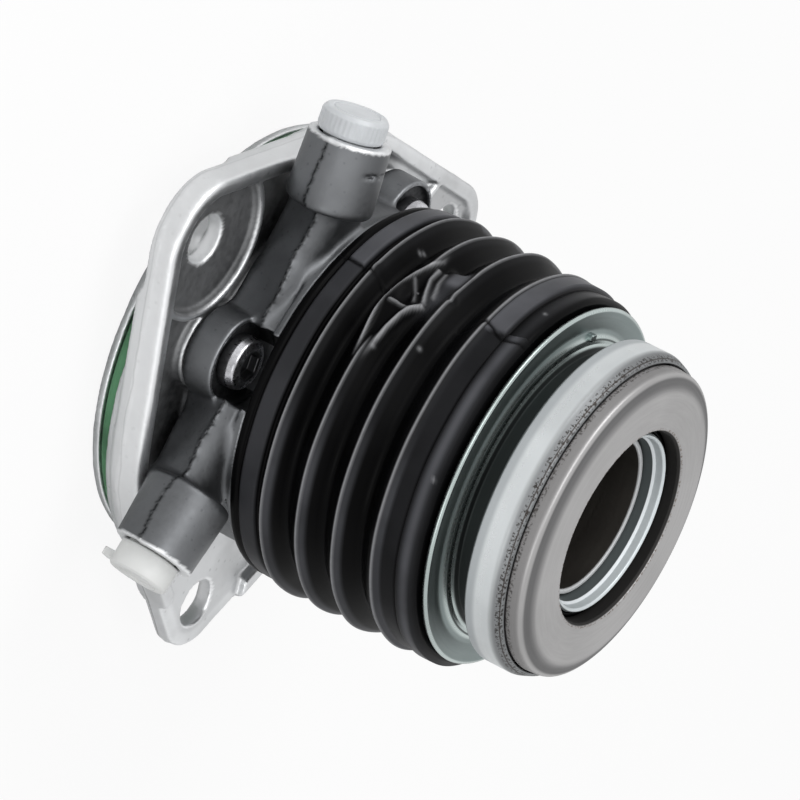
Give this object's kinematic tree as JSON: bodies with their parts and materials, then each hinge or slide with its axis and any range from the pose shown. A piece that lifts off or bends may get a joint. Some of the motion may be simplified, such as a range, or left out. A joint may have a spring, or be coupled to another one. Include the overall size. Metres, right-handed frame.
{
  "type": "concentric slave cylinder",
  "caption": "Ring-shaped hydraulic clutch release cylinder with a bellows and thrust bearing on a three-eared adapter flange, its two ports capped for transport.",
  "frame": {"origin": "on the cylinder's axis, in the plane of the spigot's rear face", "axes": "+Z along the cylinder's axis towards the release bearing; -Y is the side with the two ports"},
  "size_m": [0.0957, 0.0987, 0.0801],
  "materials": {
    "cast_bright": "cast, bright",
    "cast_dark": "cast, dull grey",
    "rubber": "black, slight sheen",
    "zinc": "zinc plated, faint blue green",
    "bearing_steel": "ground steel",
    "green_rubber": "green",
    "white_plastic": "milky white",
    "clear_plastic": "milky, half clear",
    "aluminium": "machined",
    "cage_plastic": "plain"
  },
  "bodies": {
    "housing": {"adapter_flange": "cast_bright", "flange_o_ring": "green_rubber", "shaft_seal": "rubber", "seal_garter_spring": "bearing_steel", "cylinder_body": "cast_dark", "guide_sleeve": "bearing_steel", "sleeve_o_ring": "rubber", "body_screw_1": "zinc", "body_screw_2": "zinc", "body_screw_3": "zinc", "upper_port_cap": "white_plastic", "lower_port_plug": "clear_plastic", "preload_spring": "bearing_steel", "bellows": "rubber"},
    "piston_group": {"piston_seal": "rubber", "piston": "aluminium", "spring_cover": "zinc", "retaining_ring": "bearing_steel", "inner_race": "zinc"},
    "cage_group": {"ball_cage": "cage_plastic", "ball_01": "bearing_steel", "ball_02": "bearing_steel", "ball_03": "bearing_steel", "ball_04": "bearing_steel", "ball_05": "bearing_steel", "ball_06": "bearing_steel", "ball_07": "bearing_steel", "ball_08": "bearing_steel", "ball_09": "bearing_steel", "ball_10": "bearing_steel", "ball_11": "bearing_steel", "ball_12": "bearing_steel"},
    "bearing_group": {"thrust_ring": "bearing_steel", "bearing_shell": "zinc", "bearing_seal": "rubber"}
  },
  "joints": [
    {"name": "piston_slide", "type": "slide", "parent": "housing", "child": "piston_group", "axis": [0, 0, 1], "range_m": [-0.013, 0], "stiffness_N_per_m": 500, "springref_m": 0.06, "deforming": ["preload_spring", "bellows"]},
    {"name": "bearing_spin", "type": "hinge", "parent": "piston_group", "child": "bearing_group", "pos_m": [0, 0, 0.0801], "axis": [0, 0, 1], "continuous": true},
    {"name": "cage_spin", "type": "hinge", "parent": "piston_group", "child": "cage_group", "pos_m": [0, 0, 0.0714], "axis": [0, 0, 1], "continuous": true}
  ],
  "couplings": [
    {"joint": "cage_spin", "follows": "bearing_spin", "ratio": 0.55}
  ]
}
